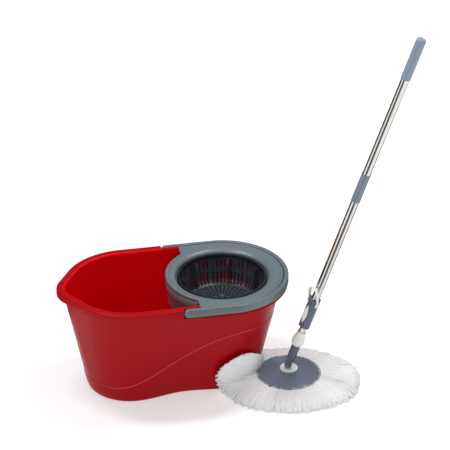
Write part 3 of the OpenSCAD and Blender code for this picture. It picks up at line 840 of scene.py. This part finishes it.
def yarn():
    """The bed and five layers of strands over it, as one piece."""
    rng = random.Random(7)
    layers = [
        # strands, start radius, share of the pile's height, reach from the spread's edge
        (210, 62, 0.10, -3),
        (210, 63, 0.40, 0),
        (210, 66, 0.72, 1),
        (230, 69.5, 1.0, -1),
        (230, 69.5, 1.0, -5),
    ]
    points, faces = yarn_bed(rng)
    for count, start_r, level, extra in layers:
        for k in range(count):
            angle = math.tau * (k + rng.uniform(-0.4, 0.4)) / count
            reach = spread(angle) + (extra + rng.uniform(-6, 3)) * MM
            path = strand_path(angle, start_r * MM, level, reach, 15, rng)
            more, quads = loft(strand_rings(path, STRAND_R * rng.uniform(0.85, 1.2), 7, rng),
                               cap_start=True, cap_end=True)
            append(points, faces, more, quads)
    mesh_piece("yarn_strands", points, faces, "mop_pad", "yarn", ["yarn_pile"])


# ---- Lock lever ----

def lever_bail():
    """White U that straddles the tube: an eye round each pin, two legs, and a bow with a wide thumb side."""
    m = MM
    across = LEVER_AXIS.normalized()
    up = (TUBE_AXIS - across * TUBE_AXIS.dot(across)).normalized()
    out = across.cross(up)
    if out.y > 0:
        out = -out

    def at(x, y, z):
        return LEVER_PIN + across * (x * m) + out * (y * m) + up * (z * m)

    # (across, up, out, half width, half thickness) along the U, from the right eye to the left one
    track = [(15.6, 0, 0, 2.6, 1.3), (15.6, 6, 1, 2.7, 1.3), (15.6, 12, 2.6, 2.8, 1.4),
             (15.6, 18, 4.9, 2.9, 1.5), (15.5, 24, 7.5, 3.0, 1.6), (14.9, 30, 9.8, 3.1, 1.7),
             (13.4, 35, 11.2, 3.3, 1.8), (10.8, 39.5, 12.4, 3.6, 1.9), (7.2, 42.8, 13.2, 3.9, 2.0),
             (2.6, 44.6, 13.7, 4.2, 2.0), (-2.6, 44.6, 13.7, 4.5, 2.0), (-7.2, 42.8, 13.3, 4.8, 2.0),
             (-10.8, 39.5, 12.5, 5.0, 1.9), (-13.4, 35, 11.3, 5.1, 1.8), (-14.9, 30, 9.9, 5.1, 1.7),
             (-15.5, 24, 7.7, 4.8, 1.6), (-15.6, 18, 5.2, 4.3, 1.5), (-15.6, 12, 2.9, 3.6, 1.4),
             (-15.6, 6, 1, 3, 1.3), (-15.6, 0, 0, 2.6, 1.3)]
    rings = []
    for i, (x, z, y, width, thick_mm) in enumerate(track):
        p = at(x, y, z)
        a, b = track[max(0, i - 1)], track[min(len(track) - 1, i + 1)]
        along = (at(b[0], b[2], b[1]) - at(a[0], a[2], a[1])).normalized()
        flat = (out - along * out.dot(along)).normalized()
        thick = flat.cross(along)
        ring = []
        for k in range(16):
            c, d = math.cos(math.tau * k / 16), math.sin(math.tau * k / 16)
            ring.append(p + flat * (width * m * math.copysign(abs(c) ** 0.6, c))
                        + thick * (thick_mm * m * math.copysign(abs(d) ** 0.6, d)))
        rings.append(ring)
    points, faces = loft(rings, cap_start=True, cap_end=True)
    for side in (-1, 1):
        eye = []
        for r, x in ((2.1, 14.3), (4.3, 14.3), (4.9, 14.8), (4.9, 16.3), (4.3, 16.9), (2.1, 16.9)):
            eye.append([at(side * x, r * math.cos(math.tau * k / 32), r * math.sin(math.tau * k / 32))
                        for k in range(32)])
        more, quads = loft(eye, closed_path=True)
        append(points, faces, more, quads)
    mesh_piece("lever_bail", points, faces, "lock_lever", "white_plastic", ["lock_lever"])


# ---- Stage ----

def area_light(name, place, target, size, power):
    """A rectangular softbox at a place, turned to its target."""
    data = bpy.data.lights.new(name, "AREA")
    data.shape = "RECTANGLE"
    data.size, data.size_y = size
    data.energy = power
    light = bpy.data.objects.new(name, data)
    light.location = place
    light.rotation_euler = (Vector(place) - Vector(target)).to_track_quat("Z", "Y").to_euler()
    bpy.context.scene.collection.objects.link(light)


def make_stage():
    """A pale floor with a faint glow that grows away from the object."""
    mesh = bpy.data.meshes.new("floor")
    size = 30
    mesh.from_pydata([(-size, -size, 0), (size, -size, 0), (size, size, 0), (-size, size, 0)], [],
                     [(0, 1, 2, 3)])
    floor = bpy.data.objects.new("floor", mesh)
    bpy.context.scene.collection.objects.link(floor)
    g = Graph("floor_white")
    g.colour(g.ramp(g.noise(2.0), [(0.3, (0.64, 0.64, 0.64)), (0.7, (0.66, 0.66, 0.66))]))
    g.set(Roughness=0.9, Specular_IOR_Level=0.1, Emission_Color=(1, 1, 1, 1))
    reach = g.tree.nodes.new("ShaderNodeVectorMath")
    reach.operation = "LENGTH"
    g.link(g.coords, reach.inputs[0])
    glow = g.tree.nodes.new("ShaderNodeMapRange")
    glow.interpolation_type = "SMOOTHSTEP"
    for name, value in (("From Min", 0.25), ("From Max", 1.3), ("To Min", 0.38), ("To Max", 0.75)):
        glow.inputs[name].default_value = value
    g.link(reach.outputs["Value"], glow.inputs["Value"])
    g.link(glow.outputs["Result"], g.shader.inputs["Emission Strength"])
    mesh.materials.append(g.material)


def make_lights():
    """An even white surround, a broad key and fill, and two long softboxes overhead."""
    world = bpy.data.worlds.new("studio")
    bpy.context.scene.world = world
    world.use_nodes = True
    background = world.node_tree.nodes["Background"]
    background.inputs["Color"].default_value = (1, 1, 1, 1)
    background.inputs["Strength"].default_value = 0.5

    area_light("key", (-1.6, -2.2, 3.0), (0, 0, 0.1), (2.2, 2.2), 30)
    area_light("fill", (2.6, -1.4, 2.2), (0.1, 0, 0.2), (1.5, 2.0), 5)
    area_light("top_left", (-0.75, 0.35, 2.4), (0.1, 0, 0.2), (0.35, 0.9), 23)
    area_light("top_right", (0.95, 0.35, 2.4), (0.1, 0, 0.2), (0.35, 0.9), 23)
    bpy.context.scene.view_settings.view_transform = "Standard"


def reflection_card(name, bearing, width, reach, height=1.3):
    """A dim grey card that stands by the mop and shows only in reflections, for polished steel to mirror."""
    way = Vector((math.cos(bearing), math.sin(bearing), 0))
    side = way.cross(Vector((0, 0, 1))) * width / 2
    foot = MOP + way * reach + Vector((0, 0, 1 * MM))
    lift = Vector((0, 0, height))
    corners = (foot - side, foot + side, foot + side + lift, foot - side + lift)
    mesh = bpy.data.meshes.new(name)
    mesh.from_pydata([tuple(p) for p in corners], [], [(0, 1, 2, 3)])
    card = bpy.data.objects.new(name, mesh)
    bpy.context.scene.collection.objects.link(card)
    g = Graph(name)
    g.set(Base_Color=(0.03, 0.03, 0.03, 1), Emission_Color=(1, 1, 0.97, 1), Emission_Strength=0.06)
    mesh.materials.append(g.material)
    card.visible_camera = card.visible_diffuse = card.visible_shadow = card.visible_transmission = False


# ---- Build ----

SOFTENED = {"lock_body": 0.8, "yoke": 1.2, "joint_sleeve": 0.4, "swivel_disc": 0.5, "tube_collar": 0.5}

make_camera()
make_stage()
make_lights()
reflection_card("card_front", math.radians(-106), 0.34, reach=0.35)
reflection_card("card_right", math.radians(35), 0.55, reach=0.25)
reflection_card("card_left", math.radians(128), 1.2, reach=0.6)
dress_cad_nodes()
bucket_shell()
crease_bead()
carry_handle()
tray_cover()
tray_skirt()
mop_plate()
yarn()
lever_bail()
for node, edge in SOFTENED.items():
    soften(node, edge * MM)
